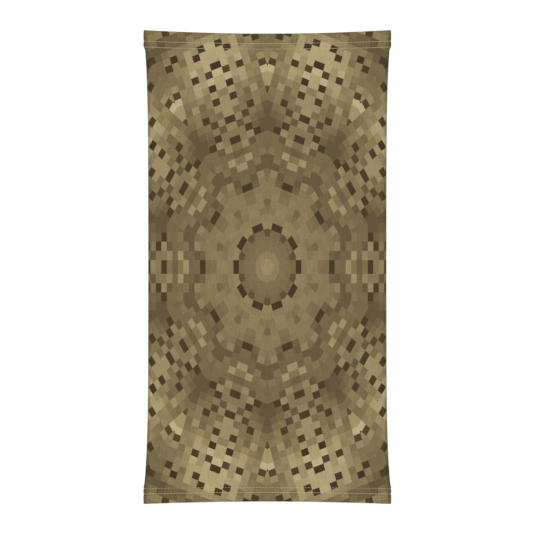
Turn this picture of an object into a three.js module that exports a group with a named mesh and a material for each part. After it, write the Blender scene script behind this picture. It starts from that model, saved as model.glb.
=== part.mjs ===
// A knitted neck gaiter: one printed jersey panel sewn into a tube, with a turned and
// coverstitched hem at each mouth and an overlocked seam down the centre back.
// It lies flat on its back on a table, slightly open as stretch fabric lies.
// Millimetres. X across, Y along the tube with the top mouth at +Y, Z up.
// The origin is on the table, under the middle of the tube.

import * as THREE from "three";

// Driving dimensions
const LENGTH = 470; // mouth to mouth, along the side folds
const HEM_HALF_WIDTH = 122.8; // laid flat, across the hems
const WAIST_HALF_WIDTH = 118.3; // laid flat, half way along
const PUFF_HEIGHT = 12.5; // table to the crown of the front wall
const FOLD_RADIUS = 3; // outside radius of a side fold
const CLOTH = 0.6; // thickness of the jersey
const GAP = 0.3; // clearance between neighbouring pieces

// Hems: the panel is turned in once, and two rows of needle thread hold the turning
const HEM_DEPTH = 18;
const THREAD_WIDTH = 0.6;
const THREAD_HEIGHT = 0.3;
const THREAD_SINK = 0.05; // how far a needle thread lies below the cloth's surface
const STITCH_PULL = THREAD_SINK + THREAD_HEIGHT + GAP; // how deep a row draws the cloth in
const PULL_FLAT = 0.6; // half width of the bottom of that groove
const PULL_REACH = 1.5; // half width of the groove at the cloth's surface
const LOOPER_HEIGHT = 0.3;
const LOOPER_OVERHANG = 0.7; // how far the looper threads run past the needle rows

// Back seam: both raw edges are turned in, laid to +X and overlocked together
const SEAM_SLIT = 0.35; // half the slit that the seam leaves in the outer face
const SEAM_WIDTH = 6.4; // from the seam line to the raw edges
const SEAM_NEEDLES = [1.2, 3.4]; // the two needle rows, from the seam line
const SEAM_LOOPER_START = 4;
const SEAM_END_GAP = 1.2; // between the hem's raw edge and the end of the seam allowance

// Each mouth's middle is drawn in from its corners by the dip, and its doubled hem stands
// out from the wall beside it by the flare. Its rows of stitches, one towards the mouth and
// one towards the body, are measured from the mouth's edge.
const TOP = { dip: 3.8, flare: 1.2, rows: [11, 17] };
const BOTTOM = { dip: 2.7, flare: 0.4, rows: [9.9, 15.2] };
const DIP_EASE = 32; // distance over which the dip fades
const SIDE_EASE = 40; // distance over which the sides ease in from the hems

// Facets
const CROWN_STEPS = 14;
const BACK_STEPS = 3;
const FOLD_STEPS = 4;
const WAIST_STATIONS = 10;

const PRINTED = new THREE.Color(0.22, 0.17, 0.09);
const THREAD = new THREE.Color(0.56, 0.5, 0.34);

const HALF_LENGTH = LENGTH / 2;
const FOLD_CENTRE = HEM_HALF_WIDTH - FOLD_RADIUS;
const DOUBLED = CLOTH + GAP; // from one ply's outer face to the next ply's outer face

const smooth = (t) => {
  const c = Math.min(1, Math.max(0, t));
  return c * c * (3 - 2 * c);
};

const fromMouth = (y) => HALF_LENGTH - Math.abs(y);

const nearestMouth = (y) => (y > 0 ? TOP : BOTTOM);

// The height of the front wall's outer face, x being measured across a hem.
function crown(x) {
  const edge = 2 * FOLD_RADIUS;
  return edge + (PUFF_HEIGHT - edge) * (1 - (x / FOLD_CENTRE) ** 4) ** 2;
}

// The tube's half width at a place along it.
function halfWidth(y) {
  const { flare } = nearestMouth(y);
  const pastHem = Math.max(0, fromMouth(y) - HEM_DEPTH);
  const spread = (HEM_HALF_WIDTH - flare - WAIST_HALF_WIDTH) * Math.exp(-pastHem / SIDE_EASE);
  return WAIST_HALF_WIDTH + spread + flare * smooth((HEM_DEPTH + 1 - fromMouth(y)) / 2);
}

// How far the stitch rows draw the cloth in at a place along the tube.
function stitchPull(y) {
  const nearest = Math.min(...nearestMouth(y).rows.map((row) => Math.abs(fromMouth(y) - row)));
  return STITCH_PULL * smooth((PULL_REACH - nearest) / (PULL_REACH - PULL_FLAT));
}

// Points round the tube's section at a depth below its outer face, from the slit's +X side,
// round the +X fold, over the front wall and back to the slit's -X side.
function sectionPoints(depth, slit) {
  const radius = FOLD_RADIUS - depth;
  const fold = (side, from, to) =>
    Array.from({ length: FOLD_STEPS + 1 }, (_, i) => {
      const a = from + ((to - from) * i) / FOLD_STEPS;
      return [side * FOLD_CENTRE + radius * Math.cos(a), FOLD_RADIUS + radius * Math.sin(a)];
    });
  const front = Array.from({ length: CROWN_STEPS - 1 }, (_, i) => {
    const x = FOLD_CENTRE * Math.cos((Math.PI * (i + 1)) / CROWN_STEPS);
    return [x, crown(x) - depth];
  });
  const back = Array.from({ length: BACK_STEPS - 1 }, (_, i) => {
    return [(FOLD_CENTRE * (i + 1)) / BACK_STEPS, depth];
  });
  return [
    [slit, depth],
    ...back,
    ...fold(1, -Math.PI / 2, Math.PI / 2),
    ...front,
    ...fold(-1, Math.PI / 2, (3 * Math.PI) / 2),
    ...back.map(([x, z]) => [-x, z]).reverse(),
    [-slit, depth],
  ];
}

// The section between two depths, split at the back where the seam is.
function wallShape(outer, inner, slit = SEAM_SLIT) {
  const outline = [...sectionPoints(outer, slit), ...sectionPoints(inner, slit).reverse()];
  return new THREE.Shape(outline.map(([x, z]) => new THREE.Vector2(x, z)));
}

// Moves a point of the straight tube to where the draped tube has it.
function drape(point, pull) {
  const { x, y, z } = point;
  const width = halfWidth(y);
  const side = Math.sign(x);
  const across = Math.min(1, Math.abs(x) / HEM_HALF_WIDTH);
  let moved;
  if (Math.abs(x) > FOLD_CENTRE) {
    const out = Math.hypot(Math.abs(x) - FOLD_CENTRE, z - FOLD_RADIUS);
    const keep = (out - pull) / out;
    const fromFold = (Math.abs(x) - FOLD_CENTRE) * keep;
    moved = [side * (width - FOLD_RADIUS + fromFold), FOLD_RADIUS + (z - FOLD_RADIUS) * keep];
  } else {
    const inward = z > crown(x) / 2 ? -pull : pull;
    moved = [(x * (width - FOLD_RADIUS)) / FOLD_CENTRE, z + inward];
  }
  const dip = nearestMouth(y).dip * (1 - across ** 2) * Math.exp(-fromMouth(y) / DIP_EASE);
  return point.set(moved[0], y - Math.sign(y) * dip, moved[1]);
}

// Extrudes a section of the tube along Y through the given stations, and drapes it.
function drapedExtrusion(shape, stations, pulled = true) {
  const steps = stations.length - 1;
  const geometry = new THREE.ExtrudeGeometry(shape, { depth: steps, steps, bevelEnabled: false });
  const place = geometry.getAttribute("position");
  const point = new THREE.Vector3();
  for (let i = 0; i < place.count; i += 1) {
    // The section lies in XY and is extruded along Z, so a turn about X makes it XZ along Y.
    const y = stations[steps - Math.round(place.getZ(i))];
    drape(point.set(place.getX(i), y, place.getY(i)), pulled ? stitchPull(y) : 0);
    place.setXYZ(i, point.x, point.y, point.z);
  }
  geometry.computeVertexNormals();
  return geometry;
}

function cloth(name, color, geometry) {
  const material = new THREE.MeshStandardMaterial({ color, roughness: 0.9, metalness: 0 });
  const mesh = new THREE.Mesh(geometry, material);
  mesh.name = name;
  return mesh;
}

// Places from a mouth inwards that catch the grooves of its stitch rows.
function hemStations({ rows }, from, to) {
  const grooves = rows.flatMap((row) =>
    [-PULL_REACH, -PULL_FLAT, PULL_FLAT, PULL_REACH].map((offset) => row + offset),
  );
  return [from, ...grooves.filter((d) => d > from + 0.1 && d < to - 0.1), to];
}

const atEnd = (end, distances) =>
  distances.map((d) => end * (HALF_LENGTH - d)).sort((a, b) => a - b);

// The whole printed panel, wrapped round from one side of the back seam to the other.
function knitPanel() {
  const hemEnd = HEM_DEPTH + 3;
  const waist = HALF_LENGTH - hemEnd;
  const middle = Array.from({ length: WAIST_STATIONS - 1 }, (_, i) => {
    const t = (i + 1) / WAIST_STATIONS;
    return -waist * Math.cos(Math.PI * t);
  });
  const [bottom, top] = [BOTTOM, TOP].map((mouth) => hemStations(mouth, 0, hemEnd));
  const stations = [...atEnd(-1, bottom), ...middle, ...atEnd(1, top)];
  return cloth("knit_panel", PRINTED, drapedExtrusion(wallShape(0, CLOTH), stations));
}

// One hem: the turned-in ply, its two needle threads outside and its looper thread inside.
function hem(label, end) {
  const mouth = nearestMouth(end);
  const turned = atEnd(end, hemStations(mouth, 0, HEM_DEPTH));
  const turning = cloth(
    `${label}_hem_turning`,
    PRINTED,
    drapedExtrusion(wallShape(DOUBLED, DOUBLED + CLOTH), turned),
  );
  const looperDepth = 2 * DOUBLED;
  const looperEnds = [mouth.rows[0] - LOOPER_OVERHANG, mouth.rows[1] + LOOPER_OVERHANG];
  const looper = cloth(
    `${label}_hem_looper_thread`,
    THREAD,
    drapedExtrusion(
      wallShape(looperDepth, looperDepth + LOOPER_HEIGHT),
      atEnd(end, hemStations(mouth, ...looperEnds)),
    ),
  );
  const needles = mouth.rows.map((row, i) => {
    const side = ["mouth", "body"][i];
    const edges = [row - THREAD_WIDTH / 2, row + THREAD_WIDTH / 2];
    const shape = wallShape(THREAD_SINK, THREAD_SINK + THREAD_HEIGHT);
    const geometry = drapedExtrusion(shape, atEnd(end, edges), false);
    return cloth(`${label}_hem_needle_thread_${side}_side`, THREAD, geometry);
  });
  return [turning, looper, ...needles];
}

// A flat strip that lies inside the back wall along the seam.
function seamStrip(name, color, [x0, x1], [z0, z1]) {
  const shape = new THREE.Shape([
    new THREE.Vector2(x0, z0),
    new THREE.Vector2(x1, z0),
    new THREE.Vector2(x1, z1),
    new THREE.Vector2(x0, z1),
  ]);
  const end = HALF_LENGTH - HEM_DEPTH - SEAM_END_GAP;
  return cloth(name, color, drapedExtrusion(shape, [-end, 0, end], false));
}

// The overlocked back seam: two plies, two needle threads and two looper threads.
function backSeam() {
  const nearPly = [DOUBLED, DOUBLED + CLOTH];
  const farPly = nearPly.map((z) => z + DOUBLED);
  const onTop = farPly[1] + GAP;
  const strips = [
    seamStrip("seam_allowance_right_edge", PRINTED, [SEAM_SLIT, SEAM_WIDTH], nearPly),
    seamStrip("seam_allowance_left_edge", PRINTED, [SEAM_SLIT, SEAM_WIDTH], farPly),
    seamStrip(
      "seam_upper_looper_thread",
      THREAD,
      [SEAM_LOOPER_START, SEAM_WIDTH],
      [onTop, onTop + LOOPER_HEIGHT],
    ),
    seamStrip(
      "seam_lower_looper_thread",
      THREAD,
      [SEAM_WIDTH + GAP, SEAM_WIDTH + GAP + LOOPER_HEIGHT],
      [nearPly[0], farPly[1]],
    ),
  ];
  SEAM_NEEDLES.forEach((x, i) => {
    const half = LOOPER_HEIGHT / 2;
    const name = `seam_needle_thread_${["inner", "outer"][i]}`;
    strips.push(seamStrip(name, THREAD, [x - half, x + half], [onTop, onTop + LOOPER_HEIGHT]));
  });
  return strips;
}

const gaiter = new THREE.Group();
gaiter.name = "neck_gaiter";
gaiter.add(knitPanel(), ...hem("top", 1), ...hem("bottom", -1), ...backSeam());

export default gaiter;
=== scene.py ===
import math

import bpy
import numpy as np
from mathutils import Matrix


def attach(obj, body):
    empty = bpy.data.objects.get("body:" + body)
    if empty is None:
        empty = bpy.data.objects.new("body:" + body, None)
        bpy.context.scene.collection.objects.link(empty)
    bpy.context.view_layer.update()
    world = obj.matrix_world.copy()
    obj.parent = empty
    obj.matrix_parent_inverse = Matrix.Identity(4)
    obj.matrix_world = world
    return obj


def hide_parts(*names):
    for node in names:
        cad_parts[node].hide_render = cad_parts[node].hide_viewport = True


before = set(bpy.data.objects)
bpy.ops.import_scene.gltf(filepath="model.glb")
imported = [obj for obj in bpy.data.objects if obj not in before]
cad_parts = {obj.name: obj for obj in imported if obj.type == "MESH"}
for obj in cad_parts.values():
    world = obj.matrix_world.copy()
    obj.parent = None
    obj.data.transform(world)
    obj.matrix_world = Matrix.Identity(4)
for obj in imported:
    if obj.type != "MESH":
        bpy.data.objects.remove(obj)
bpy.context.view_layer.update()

# A neck gaiter of printed stretch jersey, lying flat and seen from straight above.
# Metres, in the frame of the CAD model: +Y is towards the top mouth and +Z is up.

MM = 0.001

# ---------------------------------------------------------------------------
# Sizes, in millimetres
# ---------------------------------------------------------------------------
LENGTH = 470.0
HALF_LENGTH = LENGTH / 2
HEM_HALF_WIDTH = 122.8
WAIST_HALF_WIDTH = 118.3
PUFF_HEIGHT = 11.2
MOUTH_SETTLE = 4.2  # how much lower the front wall lies at the mouths
MOUTH_EASE = 34.0  # distance over which it comes down
FOLD_RADIUS = 2.5
CLOTH = 0.6
HEM_DEPTH = 18.0
# how far each mouth's middle is drawn in, how far its hem stands out at the sides, its rows
# of stitches, measured from the mouth's edge, and how much deeper the body's row lies
TOP = {"dip": 3.8, "flare": 1.2, "mouth_row": 11.0, "body_row": 17.0, "body_sink": 0.0}
BOTTOM = {"dip": 2.7, "flare": 0.4, "mouth_row": 9.9, "body_row": 15.2, "body_sink": 0.2}
DIP_EASE = 32.0
SIDE_EASE = 40.0

# Each row of stitches draws the cloth into a groove, and the cloth swells beside it
GROOVE_DEPTH = 0.42
GROOVE_WIDTH = 0.75
SWELL_BETWEEN = 0.16
SWELL_BETWEEN_WIDTH = 1.5
SWELL_AT_MOUTH = 0.12
SWELL_AT_MOUTH_WIDTH = 3.0
SWELL_AT_MOUTH_GAP = 4.5  # from the mouth's row to the swell outside it
HEM_STEP = 0.25  # how much lower the single cloth lies past the hem
HEM_STEP_LENGTH = 2.5

# The ditch that the back seam leaves on the outside
DITCH_DEPTH = 0.5
DITCH_PLACE = 0.3
DITCH_WIDTH = 0.7

# The cloth's own coordinates: u runs round the tube from the middle of the front, and v
# along it, both measured on the flat panel.
FLAT_HALF = WAIST_HALF_WIDTH - FOLD_RADIUS
FOLD_LENGTH = math.pi * (FOLD_RADIUS - CLOTH / 2)
HALF_GIRTH = 2 * FLAT_HALF + FOLD_LENGTH
SEAM_ALLOWANCE = 6.4

# The turned edge of a mouth
PLY_STEP = 0.9
TURN_RADIUS = PLY_STEP / 2
TURN_OUTER = TURN_RADIUS + CLOTH / 2


def smooth(t):
    c = np.clip(t, 0.0, 1.0)
    return c * c * (3 - 2 * c)


def bell(distance, width):
    return np.exp(-((distance / width) ** 2))


def at_mouth(y, key):
    return np.where(y > 0, TOP[key], BOTTOM[key])


def half_width(y):
    """The flat tube's half width at a place along it."""
    from_mouth = HALF_LENGTH - np.abs(y)
    flare = at_mouth(y, "flare")
    past_hem = np.maximum(0.0, from_mouth - HEM_DEPTH)
    spread = (HEM_HALF_WIDTH - flare - WAIST_HALF_WIDTH) * np.exp(-past_hem / SIDE_EASE)
    return WAIST_HALF_WIDTH + spread + flare * smooth((HEM_DEPTH + 1 - from_mouth) / 2)


def stitch_pull(y):
    """How far the rows of stitches draw the cloth in, and the soft ridges beside them."""
    from_mouth = HALF_LENGTH - np.abs(y)
    mouth_row, body_row = at_mouth(y, "mouth_row"), at_mouth(y, "body_row")
    between = (mouth_row + body_row) / 2
    pull = GROOVE_DEPTH * bell(from_mouth - mouth_row, GROOVE_WIDTH)
    pull += GROOVE_DEPTH * bell(from_mouth - body_row, GROOVE_WIDTH)
    pull -= SWELL_BETWEEN * bell(from_mouth - between, SWELL_BETWEEN_WIDTH)
    at_edge = from_mouth - mouth_row + SWELL_AT_MOUTH_GAP
    pull -= SWELL_AT_MOUTH * bell(at_edge, SWELL_AT_MOUTH_WIDTH)
    pull += HEM_STEP * smooth((from_mouth - HEM_DEPTH + 0.3) / HEM_STEP_LENGTH)
    return pull


def ripples(u, y):
    """Soft unevenness of the front wall, strongest along the mouths. The two mouths have
    their waves in different places."""
    from_mouth = HALF_LENGTH - np.abs(y)
    edge = np.exp(-from_mouth / 26.0)
    phase = np.where(y > 0, 0.0, 1.9)
    rim = np.sin(u / 13.0 + phase) + 0.7 * np.sin(u / 7.4 + 2.3 * phase + 1.0)
    body = np.sin(u / 31.0 + 0.6) * np.sin(y / 47.0 + 0.4)
    body += 0.6 * np.sin(u / 17.0 + y / 39.0) * np.sin(y / 71.0 + 1.3)
    return 0.32 * rim * edge + 0.15 * body


# How the front wall moved when it settled as cloth, as the strengths of its smooth waves
# along and round the tube. It is filled in by the simulation below.
WAVES_ALONG, WAVES_ROUND = 28, 14
settled_waves = np.zeros((WAVES_ALONG + 1, WAVES_ROUND + 1))
MOST_SETTLING = 1.3


def wave_table(place, half_span, waves):
    share = np.clip(place / (2 * half_span) + 0.5, 0, 1)
    return np.cos(math.pi * share[..., None] * np.arange(waves + 1))


def settling(u, y):
    """The height that the front wall gained or lost by settling, in millimetres."""
    along = wave_table(y, HALF_LENGTH, WAVES_ALONG)
    around = wave_table(u, FLAT_HALF, WAVES_ROUND)
    moved = np.einsum("...m,mn,...n->...", along, settled_waves, around, optimize=True)
    return MOST_SETTLING * np.tanh(moved / MOST_SETTLING)


def wall(u, y, depth):
    """The place, in metres, of a point of the cloth at a depth below the outer face."""
    u, y, depth = np.broadcast_arrays(u, y, depth)
    flat = half_width(y) - FOLD_RADIUS
    a, side = np.abs(u), np.sign(u)
    inside = depth + stitch_pull(y)

    t = np.clip(a / FLAT_HALF, 0, 1)
    from_mouth = HALF_LENGTH - np.abs(y)
    puff = PUFF_HEIGHT - MOUTH_SETTLE * np.exp(-from_mouth / MOUTH_EASE)
    rise = (puff - 2 * FOLD_RADIUS) * (1 - t**4) ** 2
    front_x = flat * t
    front_z = 2 * FOLD_RADIUS + rise - inside + (ripples(u, y) + settling(u, y)) * (1 - t**6)

    turn = np.clip((a - FLAT_HALF) / FOLD_LENGTH, 0, 1)
    angle = math.pi / 2 - math.pi * turn
    radius = FOLD_RADIUS - inside
    fold_x = flat + radius * np.cos(angle)
    fold_z = FOLD_RADIUS + radius * np.sin(angle)

    b = (HALF_GIRTH - a) / FLAT_HALF
    back_x = flat * b
    back_z = inside + DITCH_DEPTH * bell(back_x - DITCH_PLACE, DITCH_WIDTH)

    on_front, on_back = a < FLAT_HALF, a > FLAT_HALF + FOLD_LENGTH
    x = side * np.where(on_front, front_x, np.where(on_back, back_x, fold_x))
    z = np.where(on_front, front_z, np.where(on_back, back_z, fold_z))
    across = np.minimum(1.0, np.abs(x) / HEM_HALF_WIDTH)
    dip = at_mouth(y, "dip") * (1 - across**2) * np.exp(-from_mouth / DIP_EASE)
    return np.stack([x, y - np.sign(y) * dip, z], axis=-1) * MM


# ---------------------------------------------------------------------------
# Mesh builders
# ---------------------------------------------------------------------------
def in_metres(x, y, z):
    return np.stack(np.broadcast_arrays(x, y, z), axis=-1) * MM


def cloth_map(u, v):
    """The cloth's own coordinates over a grid, in metres."""
    return np.stack(np.broadcast_arrays(u, v), axis=-1) * MM


def make_object(name, vertices, faces, materials, face_slots=None, uv=None):
    mesh = bpy.data.meshes.new(name)
    mesh.from_pydata(vertices.tolist(), [], faces)
    for material in materials:
        mesh.materials.append(material)
    if face_slots is not None:
        mesh.polygons.foreach_set("material_index", face_slots)
    if uv is not None:
        loops = np.zeros(len(mesh.loops), np.int32)
        mesh.loops.foreach_get("vertex_index", loops)
        layer = mesh.uv_layers.new(name="Cloth")
        layer.data.foreach_set("uv", uv[loops].astype(np.float32).ravel())
    mesh.polygons.foreach_set("use_smooth", [True] * len(mesh.polygons))
    mesh.update()
    piece = bpy.data.objects.new(name, mesh)
    bpy.context.scene.collection.objects.link(piece)
    return piece


def cloth_shell(name, places, cloth_uv, materials):
    """A closed shell of cloth round a grid of points on its middle surface.

    The side that the grid's normals point from wears the first material, and the other
    side the second."""
    rows, columns, _ = places.shape
    along, across = np.gradient(places, axis=0), np.gradient(places, axis=1)
    normal = np.cross(across, along)
    normal /= np.maximum(np.linalg.norm(normal, axis=-1, keepdims=True), 1e-12)
    half = CLOTH / 2 * MM
    vertices = np.concatenate(
        [(places + half * normal).reshape(-1, 3), (places - half * normal).reshape(-1, 3)]
    )
    uv = np.concatenate([cloth_uv.reshape(-1, 2)] * 2)
    index = np.arange(rows * columns).reshape(rows, columns)
    a, b = index[:-1, :-1].ravel(), index[1:, :-1].ravel()
    c, d = index[1:, 1:].ravel(), index[:-1, 1:].ravel()
    under = rows * columns
    outer = np.stack([a, d, c, b], axis=1)
    inner = np.stack([a, b, c, d], axis=1) + under
    edge = np.concatenate(
        [index[0, :], index[1:, -1], index[-1, -2::-1], index[-2:0:-1, 0]]
    )
    after = np.roll(edge, -1)
    rim = np.stack([edge, edge + under, after + under, after], axis=1)
    faces = np.concatenate([outer, inner, rim])
    slots = [0] * len(outer) + [1] * len(inner) + [0] * len(rim)
    return make_object(name, vertices, faces.tolist(), materials, slots, uv)


def strands(name, paths, radii, sides, reference, material):
    """Round threads along several paths of the same number of points, in one mesh."""
    paths = np.asarray(paths)
    count, steps, _ = paths.shape
    tangent = np.gradient(paths, axis=1)
    tangent /= np.linalg.norm(tangent, axis=-1, keepdims=True)
    first = np.cross(tangent, np.broadcast_to(reference, tangent.shape))
    first /= np.linalg.norm(first, axis=-1, keepdims=True)
    second = np.cross(tangent, first)
    angles = 2 * math.pi * np.arange(sides) / sides
    ring = (
        first[:, :, None, :] * np.cos(angles)[None, None, :, None]
        + second[:, :, None, :] * np.sin(angles)[None, None, :, None]
    )
    vertices = paths[:, :, None, :] + ring * np.asarray(radii)[None, :, None, None]
    index = np.arange(count * steps * sides).reshape(count, steps, sides)
    turned = np.roll(index, -1, axis=2)
    walls = np.stack(
        [index[:, :-1], turned[:, :-1], turned[:, 1:], index[:, 1:]], axis=-1
    ).reshape(-1, 4)
    faces = walls.tolist()
    faces += index[:, 0, ::-1].tolist() + index[:, -1, :].tolist()
    return make_object(name, vertices.reshape(-1, 3), faces, [material])


# ---------------------------------------------------------------------------
# The front wall settles as cloth
# ---------------------------------------------------------------------------
SETTLE_SCALE = 10.0  # the cloth is simulated ten times as large
SETTLE_FRAMES = 40
SETTLE_PRESSURE = 1.42  # carries about the cloth's own weight
SETTLE_ROUND, SETTLE_ALONG = 49, 97  # points of the simulated grid
VERTEX_MASS = 0.3
STRETCH_STIFFNESS, SHEAR_STIFFNESS, BENDING_STIFFNESS = 10.0, 3.0, 8.0
STRETCH_DAMPING, BENDING_DAMPING, AIR_DAMPING = 25.0, 2.0, 3.0
SLACK = 0.004
HEM_HOLD = 0.55  # a doubled hem is stiffer than the single cloth


def settle_front():
    """Lets the front wall settle under its own weight, held along its folds."""
    u = np.linspace(-FLAT_HALF, FLAT_HALF, SETTLE_ROUND)
    y = np.linspace(-HALF_LENGTH, HALF_LENGTH, SETTLE_ALONG)
    start = wall(u[None, :], y[:, None], CLOTH / 2)
    index = np.arange(len(y) * len(u)).reshape(len(y), len(u))
    faces = np.stack([index[:-1, :-1], index[:-1, 1:], index[1:, 1:], index[1:, :-1]], axis=-1)
    places = (start * SETTLE_SCALE).reshape(-1, 3)
    piece = make_object("front_wall", places, faces.reshape(-1, 4).tolist(), [])
    held = piece.vertex_groups.new(name="held")
    hem = np.flatnonzero(HALF_LENGTH - np.abs(y) < HEM_DEPTH + 1)
    held.add(index[hem, 1:-1].ravel().tolist(), HEM_HOLD, "REPLACE")
    held.add(index[:, [0, -1]].ravel().tolist(), 1.0, "REPLACE")

    modifier = piece.modifiers.new("cloth", "CLOTH")
    modifier.collision_settings.use_collision = False
    cloth = modifier.settings
    cloth.vertex_group_mass = "held"
    cloth.mass = VERTEX_MASS
    cloth.tension_stiffness = cloth.compression_stiffness = STRETCH_STIFFNESS
    cloth.shear_stiffness = SHEAR_STIFFNESS
    cloth.bending_stiffness = BENDING_STIFFNESS
    cloth.tension_damping = cloth.compression_damping = STRETCH_DAMPING
    cloth.shear_damping = STRETCH_DAMPING
    cloth.bending_damping = BENDING_DAMPING
    cloth.air_damping = AIR_DAMPING
    cloth.shrink_min = -SLACK
    cloth.use_pressure = True
    cloth.uniform_pressure_force = SETTLE_PRESSURE
    scene = bpy.context.scene
    for frame_number in range(1, SETTLE_FRAMES + 1):
        scene.frame_set(frame_number)
    settled = piece.evaluated_get(bpy.context.evaluated_depsgraph_get())
    after = np.zeros(len(places) * 3)
    settled.data.vertices.foreach_get("co", after)
    change = (after.reshape(start.shape) / SETTLE_SCALE - start)[..., 2] / MM
    bpy.data.objects.remove(piece)
    scene.frame_set(1)

    along = np.linalg.pinv(wave_table(y, HALF_LENGTH, WAVES_ALONG))
    around = np.linalg.pinv(wave_table(u, FLAT_HALF, WAVES_ROUND))
    return along @ change @ around.T


settled_waves = settle_front()

# ---------------------------------------------------------------------------
# Materials
# ---------------------------------------------------------------------------
def srgb(text):
    """A colour written as a web colour, in linear light."""
    values = [int(text[i : i + 2], 16) / 255 for i in (1, 3, 5)]
    linear = [v / 12.92 if v <= 0.04045 else ((v + 0.055) / 1.055) ** 2.4 for v in values]
    return (*linear, 1.0)


class Weaver:
    """Writes the node tree of one material."""

    def __init__(self, name):
        self.material = bpy.data.materials.new(name)
        self.material.use_nodes = True
        self.tree = self.material.node_tree
        self.shader = self.tree.nodes["Principled BSDF"]

    def add(self, kind, **settings):
        made = self.tree.nodes.new(kind)
        for key, value in settings.items():
            setattr(made, key, value)
        return made

    def plug(self, value, socket):
        if isinstance(value, bpy.types.NodeSocket):
            self.tree.links.new(value, socket)
        else:
            socket.default_value = value

    def math(self, operation, *values):
        made = self.add("ShaderNodeMath", operation=operation)
        for value, socket in zip(values, made.inputs):
            self.plug(value, socket)
        return made.outputs[0]

    def between(self, value, low, high, to_low=0.0, to_high=1.0):
        made = self.add("ShaderNodeMapRange", clamp=True)
        for given, socket in zip((value, low, high, to_low, to_high), made.inputs):
            self.plug(given, socket)
        return made.outputs[0]

    def vector(self, x, y, z=0.0):
        made = self.add("ShaderNodeCombineXYZ")
        for value, socket in zip((x, y, z), made.inputs):
            self.plug(value, socket)
        return made.outputs[0]

    def noise(self, place, scale, detail=2.0, dimensions="2D"):
        made = self.add("ShaderNodeTexNoise", noise_dimensions=dimensions)
        self.plug(place, made.inputs["Vector"])
        made.inputs["Scale"].default_value = scale
        made.inputs["Detail"].default_value = detail
        made.inputs["Roughness"].default_value = 0.5
        return made.outputs[0]

    def chance(self, x, y, shift):
        """An even random number for each whole pair of numbers."""
        made = self.add("ShaderNodeTexWhiteNoise", noise_dimensions="2D")
        self.plug(self.vector(self.math("ADD", x, shift), y), made.inputs["Vector"])
        return made.outputs["Value"]

    def ramp(self, value, stops, interpolation="LINEAR"):
        made = self.add("ShaderNodeValToRGB")
        made.color_ramp.interpolation = interpolation
        elements = made.color_ramp.elements
        while len(elements) < len(stops):
            elements.new(0.5)
        for element, (place, colour) in zip(elements, stops):
            element.position = place
            element.color = colour
        self.plug(value, made.inputs[0])
        return made.outputs[0]

    def mix(self, factor, a, b, blend="MIX"):
        made = self.add("ShaderNodeMix", data_type="RGBA", blend_type=blend)
        self.plug(factor, made.inputs["Factor"])
        self.plug(a, made.inputs[6])
        self.plug(b, made.inputs[7])
        return made.outputs[2]

    def shade(self, colour, value, *stops):
        """The colour made darker or lighter by a grey that follows a value."""
        tint = self.ramp(value, [(place, grey(tone)) for place, tone in stops])
        return self.mix(1.0, colour, tint, "MULTIPLY")

    def bump(self, height, strength, distance):
        made = self.add("ShaderNodeBump")
        made.inputs["Strength"].default_value = strength
        made.inputs["Distance"].default_value = distance * MM
        self.plug(height, made.inputs["Height"])
        self.plug(made.outputs[0], self.shader.inputs["Normal"])

    def cloth_place(self):
        """The cloth's coordinates in millimetres: round the tube, and along it."""
        split = self.add("ShaderNodeSeparateXYZ")
        self.plug(self.add("ShaderNodeUVMap", uv_map="Cloth").outputs[0], split.inputs[0])
        return (
            self.math("MULTIPLY", split.outputs[0], 1000.0),
            self.math("MULTIPLY", split.outputs[1], 1000.0),
        )


def grey(value):
    return (value, value, value, 1.0)


# The print: a pixel pattern in a mirrored wedge, repeated ten times round the middle of the
# front and drawn out along the tube. Millimetres, before it is drawn out.
WEDGE = math.radians(36)
STRETCH = 1.296
CELL_OUT = 5.49
CELL_ROUND = 7.05
CELL_START = 0.64
ROW_START = 1.79
OUT_SPAN = 330.0

# Tone against distance from the middle
TONE_RINGS = (
    (0.0, 0.72),
    (4.0, 0.70),
    (9.0, 0.58),
    (14.0, 0.47),
    (26.0, 0.42),
    (34.0, 0.47),
    (46.0, 0.50),
    (56.0, 0.55),
    (66.0, 0.47),
    (78.0, 0.43),
    (88.0, 0.37),
    (96.0, 0.34),
    (108.0, 0.31),
    (118.0, 0.46),
    (132.0, 0.56),
    (142.0, 0.70),
    (150.0, 0.88),
    (162.0, 0.82),
    (176.0, 0.72),
    (184.0, 0.66),
    (194.0, 0.30),
    (204.0, 0.52),
    (236.0, 0.46),
    (276.0, 0.62),
    (330.0, 0.42),
)

# Single cells and slanting runs of cells that edge the rings and diamonds of the print: the
# first cell's steps out and row, the steps out that each further row adds, the rows, and
# the tone
CELL_RUNS = (
    (5, 0, 0, 1, 0.08),
    (4, 1, 0, 1, 0.24),
    (5, 1, 1, 1, 0.62),
    (8, 2, 0, 1, 0.38),
    (8, 0, 0, 1, 0.58),
    (11, 0, 0, 1, 0.10),
    (12, 1, 1, 3, 0.30),
    (14, 0, 0, 1, 0.70),
    (15, 1, 1, 1, 0.72),
    (16, 0, 0, 1, 0.34),
    (17, 1, 1, 1, 0.64),
    (18, 0, 0, 1, 0.12),
    (21, 0, -1, 4, 0.12),
    (20, 1, 0, 1, 0.30),
)

# The diamond that lies across each wedge's middle, in steps out, and its last row
DIAMOND = (11, 21)
DIAMOND_ROWS = 3
DIAMOND_TONE = 0.56
LEAST_TONE = 0.27  # of all cells but the darkest, which stand alone

PALETTE = (
    (0.00, srgb("#342914")),
    (0.14, srgb("#493c22")),
    (0.30, srgb("#65573a")),
    (0.46, srgb("#7b6c48")),
    (0.62, srgb("#92825b")),
    (0.80, srgb("#aa9a6f")),
    (1.00, srgb("#c0b086")),
)


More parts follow.
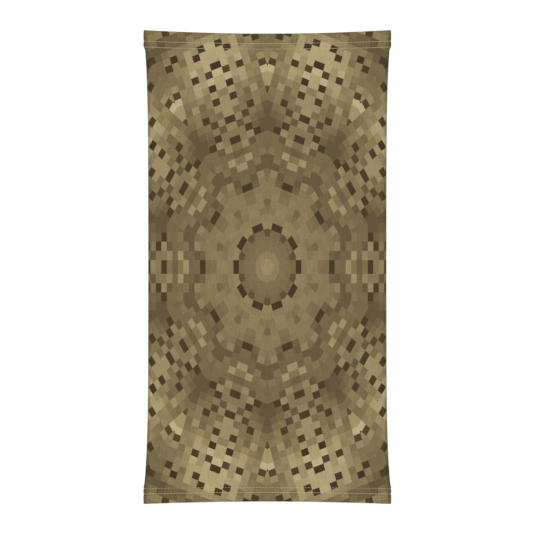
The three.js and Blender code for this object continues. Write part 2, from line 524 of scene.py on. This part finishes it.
def cell_of(w, u, v):
    """The print's cell at a place on the cloth: its steps out and its row."""
    v = w.math("DIVIDE", v, STRETCH)
    out = w.math("SQRT", w.math("ADD", w.math("MULTIPLY", u, u), w.math("MULTIPLY", v, v)))
    angle = w.math("ARCTAN2", v, u)
    whole = w.math("MULTIPLY", w.math("ROUND", w.math("DIVIDE", angle, WEDGE)), WEDGE)
    angle = w.math("ABSOLUTE", w.math("SUBTRACT", angle, whole))
    x = w.math("MULTIPLY", out, w.math("COSINE", angle))
    y = w.math("MULTIPLY", out, w.math("SINE", angle))
    i = w.math("FLOOR", w.math("DIVIDE", w.math("SUBTRACT", x, CELL_START), CELL_OUT))
    j = w.math("FLOOR", w.math("DIVIDE", w.math("ADD", y, ROW_START), CELL_ROUND))
    return i, j


def scattered(w, i, j, parity, share, shift):
    """Single cells picked at random from every other cell, so that they only meet at
    their corners."""
    count = w.math("ADD", w.math("ADD", i, j), 1.0 - parity)
    every_other = w.math("FLOORED_MODULO", count, 2.0)
    taken = w.math("LESS_THAN", w.chance(i, j, shift), share)
    return w.math("MULTIPLY", taken, every_other)


def toned(w, tone, new_tone, here):
    """The tone, changed where the mask is 1."""
    return w.math("ADD", tone, w.math("MULTIPLY", w.math("SUBTRACT", new_tone, tone), here))


def block_chance(w, i, j, across, along, offset, shift):
    """A random number for each block of cells."""
    block_i = w.math("FLOOR", w.math("DIVIDE", w.math("ADD", i, offset), float(across)))
    block_j = w.math("FLOOR", w.math("DIVIDE", w.math("ADD", j, offset), float(along)))
    return w.chance(block_i, block_j, shift)


def print_tone(w, u, v):
    """The print's tone, from 0, darkest, to 1."""
    i, j = cell_of(w, u, v)
    cell_x = w.math("MULTIPLY_ADD", i, CELL_OUT, CELL_START + CELL_OUT / 2)
    cell_y = w.math("MULTIPLY", j, CELL_ROUND)
    cell_out = w.math(
        "SQRT",
        w.math("ADD", w.math("MULTIPLY", cell_x, cell_x), w.math("MULTIPLY", cell_y, cell_y)),
    )
    rings = w.ramp(
        w.math("DIVIDE", cell_out, OUT_SPAN),
        [(place / OUT_SPAN, grey(tone)) for place, tone in TONE_RINGS],
    )
    past_start = w.math("GREATER_THAN", w.math("SUBTRACT", i, j), DIAMOND[0] - 0.5)
    before_end = w.math("LESS_THAN", w.math("ADD", i, j), DIAMOND[1] + 0.5)
    diamond = w.math("MULTIPLY", past_start, before_end)
    diamond = w.math("MULTIPLY", diamond, w.math("LESS_THAN", j, DIAMOND_ROWS + 0.5))
    tone = toned(w, rings, DIAMOND_TONE, diamond)
    # the places where two wedges meet are darker than their middles
    slope = w.math("DIVIDE", cell_y, w.math("MAXIMUM", cell_x, CELL_OUT))
    meeting = w.between(slope, 0.14, 0.28)
    reach = w.math("MULTIPLY", w.between(cell_out, 80, 125), w.between(cell_out, 195, 165))
    tone = w.math("MULTIPLY_ADD", w.math("MULTIPLY", meeting, reach), -0.15, tone)

    large = w.between(block_chance(w, i, j, 3, 2, 0.0, 3.0), 0, 1, -0.12, 0.12)
    small = w.between(block_chance(w, i, j, 2, 1, 1.0, 5.0), 0, 1, -0.07, 0.07)
    single = w.between(w.chance(i, j, 7.0), 0, 1, -0.06, 0.06)
    spread = w.between(cell_out, 20.0, 90.0, 0.60, 1.0)
    change = w.math("MULTIPLY", w.math("ADD", w.math("ADD", large, small), single), spread)
    tone = w.math("ADD", tone, change)

    # single cells, lighter, dimmer and darkest
    light = scattered(w, i, j, 0.0, w.between(cell_out, 60.0, 150.0, 0.06, 0.14), 61.0)
    tone = toned(w, tone, w.math("ADD", tone, 0.13), light)
    dim = scattered(w, i, j, 1.0, w.between(cell_out, 40.0, 110.0, 0.0, 0.20), 41.0)
    tone = toned(w, tone, w.math("SUBTRACT", tone, 0.14), dim)
    tone = w.math("MAXIMUM", tone, LEAST_TONE)
    # the darkest cells keep mostly to slanting chains, four steps apart
    chain = w.math("FLOORED_MODULO", w.math("ADD", i, j), 4.0)
    chain = w.math("MULTIPLY_ADD", w.math("COMPARE", chain, 1.0, 0.2), 0.34, 0.05)
    outer = w.between(cell_out, 108.0, 128.0)
    dark = scattered(w, i, j, 1.0, w.math("MULTIPLY", chain, outer), 37.0)
    dark_tone = w.between(w.chance(i, j, 53.0), 0.0, 1.0, 0.04, 0.20)
    tone = toned(w, tone, dark_tone, dark)

    for step, row, slant, rows, run_tone in CELL_RUNS:
        line = w.math("SUBTRACT", i, w.math("MULTIPLY", j, float(slant)))
        on_line = w.math("COMPARE", line, float(step - slant * row), 0.2)
        on_row = w.math("COMPARE", j, row + (rows - 1) / 2, rows / 2 - 0.3)
        tone = toned(w, tone, run_tone, w.math("MULTIPLY", on_line, on_row))
    return tone


# Jersey stitches
WALE = 0.82
COURSE = 0.62


def jersey_height(w, u, v):
    """Columns of V-shaped stitches."""
    column = w.math("FRACT", w.math("DIVIDE", u, WALE))
    middle = w.math("ABSOLUTE", w.math("SUBTRACT", column, 0.5))
    rise = w.math("SINE", w.math("MULTIPLY", column, math.pi))
    course = w.math("ADD", w.math("DIVIDE", v, COURSE), w.math("MULTIPLY", middle, 1.4))
    loops = w.math("SINE", w.math("MULTIPLY", course, 2 * math.pi))
    return w.math("MULTIPLY", rise, w.math("MULTIPLY_ADD", loops, 0.3, 0.7))


def finish_cloth(w, colour, height, roughness):
    w.bump(height, 0.5, 0.12)
    w.plug(colour, w.shader.inputs["Base Color"])
    w.plug(roughness, w.shader.inputs["Roughness"])
    w.shader.inputs["Specular IOR Level"].default_value = 0.15
    w.shader.inputs["Sheen Weight"].default_value = 0.05
    w.shader.inputs["Sheen Roughness"].default_value = 0.5
    return w.material


def printed_jersey():
    w = Weaver("printed_jersey")
    u, v = w.cloth_place()
    colour = w.ramp(print_tone(w, u, v), PALETTE)
    stitches = jersey_height(w, u, v)
    # streaks along the wales, and the undyed yarn that shows between the stitches
    streaks = w.noise(w.vector(w.math("MULTIPLY", u, 0.9), w.math("MULTIPLY", v, 0.09)), 1.0)
    colour = w.shade(colour, streaks, (0.2, 0.90), (0.8, 1.08))
    mottle = w.noise(w.vector(u, v), 0.55, detail=3.0)
    colour = w.shade(colour, mottle, (0.25, 0.93), (0.75, 1.06))
    grin = w.between(stitches, 0.25, 0.0, 0.0, 0.07)
    colour = w.mix(grin, colour, srgb("#b9ae90"))
    # painted shade: the print is made darker along the folds at the sides, standing in for the
    # shade where the cloth turns down
    from_fold = w.math("SUBTRACT", w.math("ABSOLUTE", u), FLAT_HALF + FOLD_LENGTH / 2)
    painted_fold_shade = w.between(w.math("ABSOLUTE", from_fold), 1.6, 5.0, 0.62, 1.0)
    colour = w.shade(colour, painted_fold_shade, (0.0, 0.0), (1.0, 1.0))
    roughness = w.between(mottle, 0.2, 0.8, 0.78, 0.92)
    return finish_cloth(w, colour, stitches, roughness)


def plain_jersey():
    w = Weaver("jersey_inside")
    u, v = w.cloth_place()
    ghost = w.between(print_tone(w, u, v), 0.0, 1.0, 0.90, 1.0)
    mottle = w.noise(w.vector(u, v), 0.5, detail=3.0)
    colour = w.shade(srgb("#e9e5da"), ghost, (0.9, 0.86), (1.0, 1.0))
    colour = w.shade(colour, mottle, (0.25, 0.96), (0.75, 1.03))
    roughness = w.between(mottle, 0.2, 0.8, 0.82, 0.94)
    return finish_cloth(w, colour, jersey_height(w, u, v), roughness)


def thread(name, colour):
    """Twisted polyester thread."""
    w = Weaver(name)
    place = w.add("ShaderNodeTexCoord").outputs["Object"]
    wave = w.add("ShaderNodeTexWave", wave_type="BANDS", bands_direction="DIAGONAL")
    w.plug(place, wave.inputs["Vector"])
    wave.inputs["Scale"].default_value = 900.0
    wave.inputs["Distortion"].default_value = 1.5
    fibres = w.noise(place, 1800.0, dimensions="3D")
    # partly painted shade: the colour is darker in the grooves of the twist bands that the bump
    # draws, and the fibre noise is the thread's own uneven tone
    shade = w.math("ADD", w.math("MULTIPLY", wave.outputs["Fac"], 0.25), fibres)
    w.plug(w.shade(srgb(colour), shade, (0.3, 0.82), (0.9, 1.08)), w.shader.inputs["Base Color"])
    w.plug(w.between(fibres, 0.2, 0.8, 0.45, 0.65), w.shader.inputs["Roughness"])
    w.bump(wave.outputs["Fac"], 0.5, 0.05)
    w.shader.inputs["Specular IOR Level"].default_value = 0.35
    return w.material


PRINTED = printed_jersey()
INSIDE = plain_jersey()
NEEDLE = thread("needle_thread", "#c9bd98")
LOOPER = thread("looper_thread", "#cfc5a6")


def hand_over(piece, material_slot, *nodes):
    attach(piece, "root")
    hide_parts(*nodes)
    return piece


# ---------------------------------------------------------------------------
# The panel and its hems
# ---------------------------------------------------------------------------
def round_the_tube(count):
    """Cloth coordinates round the tube, closer together on the folds."""
    flat = np.linspace(0, FLAT_HALF, count)[:-1]
    fold = np.linspace(FLAT_HALF, FLAT_HALF + FOLD_LENGTH, 11)[:-1]
    near_seam = HALF_GIRTH - np.array([1.6, 1.1, 0.7, 0.33, 0.03])
    back = np.linspace(FLAT_HALF + FOLD_LENGTH, HALF_GIRTH - 3, count // 2)
    half = np.concatenate([flat, fold, back, near_seam])
    return np.concatenate([-half[:0:-1], half])


def panel_path():
    """Along the tube: cloth coordinate, place and depth, over the turn at each mouth."""
    start = HALF_LENGTH - TURN_OUTER
    hem = start - np.linspace(0, HEM_DEPTH + 3, 46)[1:-1]
    body = np.linspace(0, HALF_LENGTH - HEM_DEPTH - 4, 46)
    straight = np.concatenate([body, hem[::-1], [start]])
    turn = np.linspace(0, math.pi, 9)[1:]
    v = np.concatenate([straight, start + TURN_RADIUS * turn])
    y = np.concatenate([straight, start + TURN_RADIUS * np.sin(turn)])
    depth = np.concatenate(
        [np.full(len(straight), CLOTH / 2), TURN_OUTER - TURN_RADIUS * np.cos(turn)]
    )
    return (
        np.concatenate([-v[:0:-1], v]),
        np.concatenate([-y[:0:-1], y]),
        np.concatenate([depth[:0:-1], depth]),
    )


def knit_panel():
    u = round_the_tube(64)
    v, y, depth = panel_path()
    places = wall(u[None, :], y[:, None], depth[:, None])
    cloth_uv = cloth_map(u[None, :], v[:, None])
    piece = cloth_shell("knit_panel_cloth", places, cloth_uv, [PRINTED, INSIDE])
    return hand_over(piece, "printed_jersey", "knit_panel")


def hem_turning(label, end):
    """The ply that is turned inside a mouth, with its raw edge a little uneven."""
    u = round_the_tube(64)
    start = HALF_LENGTH - TURN_OUTER
    inward = np.linspace(0, HEM_DEPTH - TURN_OUTER, 36)
    raw = 0.15 * np.sin(u / 2.1) + 0.1 * np.sin(u / 0.9 + 1)
    y = end * (start - inward[:, None] * (1 + raw[None, :] / HEM_DEPTH))
    v = end * (start + math.pi * TURN_RADIUS + inward[:, None])
    places = wall(u[None, :], y, TURN_OUTER + TURN_RADIUS)
    cloth_uv = cloth_map(u[None, :], v)
    if end < 0:
        places, cloth_uv = places[::-1], cloth_uv[::-1]
    piece = cloth_shell(f"{label}_hem_turning_cloth", places, cloth_uv, [PRINTED, INSIDE])
    return hand_over(piece, "printed_jersey", f"{label}_hem_turning")


STITCH_LENGTH = 2.9
STITCH_GAP = 0.16
THREAD_RADIUS = 0.23
LOOPER_RADIUS = 0.17
SEAM_THREAD_RADIUS = 0.15


def needle_row(label, end, row, side):
    """A row of separate stitches, each dipping into the cloth at both ends."""
    count = int(2 * HALF_GIRTH / STITCH_LENGTH)
    starts = -HALF_GIRTH + (np.arange(count) + 0.5) * (2 * HALF_GIRTH / count)
    share = np.array([0.0, 0.06, 0.25, 0.5, 0.75, 0.94, 1.0])
    half = (STITCH_LENGTH - STITCH_GAP) / 2
    u = starts[:, None] + half * (2 * share[None, :] - 1)
    depth = np.array([0.4, 0.02, -0.1, -0.12, -0.1, 0.02, 0.4])
    if side == "body":
        depth = depth + at_mouth(end, "body_sink")
    wander = 0.06 * np.sin(starts * 12.9898)[:, None]
    y = end * (HALF_LENGTH - row + wander)
    paths = wall(u, y, depth[None, :])
    radii = THREAD_RADIUS * MM * np.array([0.6, 0.95, 1.0, 1.0, 1.0, 0.95, 0.6])
    name = f"{label}_hem_needle_thread_{side}_side"
    piece = strands(f"{name}_stitches", paths, radii, 7, (0, 1, 0), NEEDLE)
    return hand_over(piece, "needle_thread", name)


def hem_looper(label, end):
    """The looper thread inside a hem: a ladder of loops between the two needle rows."""
    count = int(2 * HALF_GIRTH / STITCH_LENGTH)
    pitch = 2 * HALF_GIRTH / count
    starts = -HALF_GIRTH + 1.5 + np.arange(count - 1) * pitch
    share = np.linspace(0, 1, 13)
    rows = at_mouth(end, "mouth_row"), at_mouth(end, "body_row")
    middle, reach = sum(rows) / 2, (rows[1] - rows[0]) / 2 + 0.5
    u = starts[:, None] + pitch * (share + 0.45 * np.sin(4 * math.pi * share))[None, :]
    y = end * (HALF_LENGTH - middle - reach * np.cos(2 * math.pi * share))[None, :]
    depth = 2 * PLY_STEP + 0.1 + 0.18 * np.sin(4 * math.pi * share)[None, :]
    paths = wall(u, y, depth)
    radii = np.full(len(share), LOOPER_RADIUS * MM)
    piece = strands(f"{label}_hem_looper_loops", paths, radii, 6, (0.2, 0.3, 1), LOOPER)
    return hand_over(piece, "looper_thread", f"{label}_hem_looper_thread")


# ---------------------------------------------------------------------------
# The back seam
# ---------------------------------------------------------------------------
SEAM_HALF_LENGTH = HALF_LENGTH - HEM_DEPTH - 2.5
SEAM_STITCH = 2.6
SEAM_NEEDLES = ((1.2, "seam_needle_thread_inner"), (3.4, "seam_needle_thread_outer"))
ALLOWANCE_WAVE = 4.3


def seam_allowance(name, height, lift, materials):
    """One raw edge of the panel, laid flat inside the back wall."""
    y = np.linspace(-SEAM_HALF_LENGTH, SEAM_HALF_LENGTH, 180)[:, None]
    x = np.linspace(0.4, SEAM_ALLOWANCE, 8)[None, :]
    z = height + lift * np.sin(y / ALLOWANCE_WAVE) * (x / SEAM_ALLOWANCE) ** 2
    cloth_uv = cloth_map(HALF_GIRTH + x, y)
    piece = cloth_shell(f"{name}_cloth", in_metres(x, y, z), cloth_uv, materials)
    return hand_over(piece, "jersey_inside", name)


def seam_threads():
    """The two rows of needle stitches, and the loopers that cross over the raw edges, one
    above and one below."""
    count = int(2 * SEAM_HALF_LENGTH / SEAM_STITCH) - 1
    starts = -SEAM_HALF_LENGTH + SEAM_STITCH / 2 + SEAM_STITCH * np.arange(count)[:, None]
    share = np.array([0.0, 0.15, 0.5, 0.85, 1.0])
    y = starts + (SEAM_STITCH - 0.3) * share
    z = 2.45 + np.array([-0.3, 0.1, 0.16, 0.1, -0.3])
    radii = np.full(len(share), SEAM_THREAD_RADIUS * MM)
    for x, name in SEAM_NEEDLES:
        piece = strands(f"{name}_stitches", in_metres(x, y, z), radii, 6, (1, 0, 0), NEEDLE)
        hand_over(piece, "needle_thread", name)

    turn = np.linspace(0, 1, 11)
    swing = 0.5 - 0.5 * np.cos(2 * math.pi * turn)
    y = starts + SEAM_STITCH * (turn + 0.25 * np.sin(2 * math.pi * turn))
    radii = np.full(len(turn), SEAM_THREAD_RADIUS * MM)
    above = in_metres(3.5 + 3.1 * swing, y, 2.58 - 0.25 * swing**4)
    piece = strands("seam_upper_looper_loops", above, radii, 6, (0.3, 0.2, 1), LOOPER)
    hand_over(piece, "looper_thread", "seam_upper_looper_thread")
    past_edge = SEAM_ALLOWANCE + 0.12 + 0.2 * np.sin(math.pi * swing)
    below = in_metres(past_edge, y, 0.95 + 1.5 * swing)
    piece = strands("seam_lower_looper_loops", below, radii, 6, (1, 0.2, 0.3), LOOPER)
    hand_over(piece, "looper_thread", "seam_lower_looper_thread")


panel = knit_panel()
for label, end in (("top", 1), ("bottom", -1)):
    hem_turning(label, end)
    hem_looper(label, end)
    for side in ("mouth", "body"):
        needle_row(label, end, at_mouth(end, f"{side}_row"), side)
seam_allowance("seam_allowance_right_edge", 1.2, 0.0, [PRINTED, INSIDE])
seam_allowance("seam_allowance_left_edge", 2.1, 0.04, [INSIDE, PRINTED])
seam_threads()

# ---------------------------------------------------------------------------
# Floor, light and camera
# ---------------------------------------------------------------------------
VIEW_WIDTH = 0.5287
VIEW_CENTRE = (-0.0008, 0.0005)
FLOOR_HALF_SIZE = 12.0
FLOOR_GAP = 0.0002
FLOOR_GLOW = 0.36
SKY_LIGHT = 0.46
LAMP_LIGHT = 1.67
LAMP_SPREAD = math.radians(53)
LAMP_PLACE = (-0.1, 0.12, 1.7)


def floor():
    size = FLOOR_HALF_SIZE
    corners = np.array([(-size, -size, 0), (size, -size, 0), (size, size, 0), (-size, size, 0)])
    w = Weaver("paper")
    place = w.add("ShaderNodeTexCoord").outputs["Object"]
    grain = w.noise(place, 300.0, dimensions="3D")
    w.plug(w.ramp(grain, [(0.3, grey(0.90)), (0.7, grey(0.92))]), w.shader.inputs["Base Color"])
    w.shader.inputs["Roughness"].default_value = 1.0
    w.shader.inputs["Specular IOR Level"].default_value = 0.0
    w.shader.inputs["Emission Color"].default_value = (1, 1, 1, 1)
    w.shader.inputs["Emission Strength"].default_value = FLOOR_GLOW
    piece = make_object("floor", corners, [[0, 1, 2, 3]], [w.material])
    piece.location.z = -FLOOR_GAP


def high_light():
    """A wide soft light from nearly straight above."""
    light = bpy.data.lights.new("high_light", "SUN")
    light.energy = LAMP_LIGHT
    light.angle = LAMP_SPREAD
    lamp = bpy.data.objects.new("high_light", light)
    lamp.location = LAMP_PLACE
    lamp.rotation_mode = "QUATERNION"
    lamp.rotation_quaternion = (-lamp.location).to_track_quat("-Z", "Y")
    bpy.context.scene.collection.objects.link(lamp)


def surroundings():
    scene = bpy.context.scene
    scene.view_settings.view_transform = "Standard"
    world = bpy.data.worlds.new("studio")
    world.use_nodes = True
    background = world.node_tree.nodes["Background"]
    background.inputs["Color"].default_value = (1, 1, 1, 1)
    background.inputs["Strength"].default_value = SKY_LIGHT
    scene.world = world
    high_light()

    camera = bpy.data.cameras.new("camera")
    camera.lens, camera.sensor_width = 200.0, 36.0
    camera.clip_end = 100.0
    viewer = bpy.data.objects.new("camera", camera)
    height = VIEW_WIDTH / 2 * camera.lens / (camera.sensor_width / 2)
    viewer.location = (*VIEW_CENTRE, height + FOLD_RADIUS * MM)
    scene.collection.objects.link(viewer)
    scene.camera = viewer


floor()
surroundings()
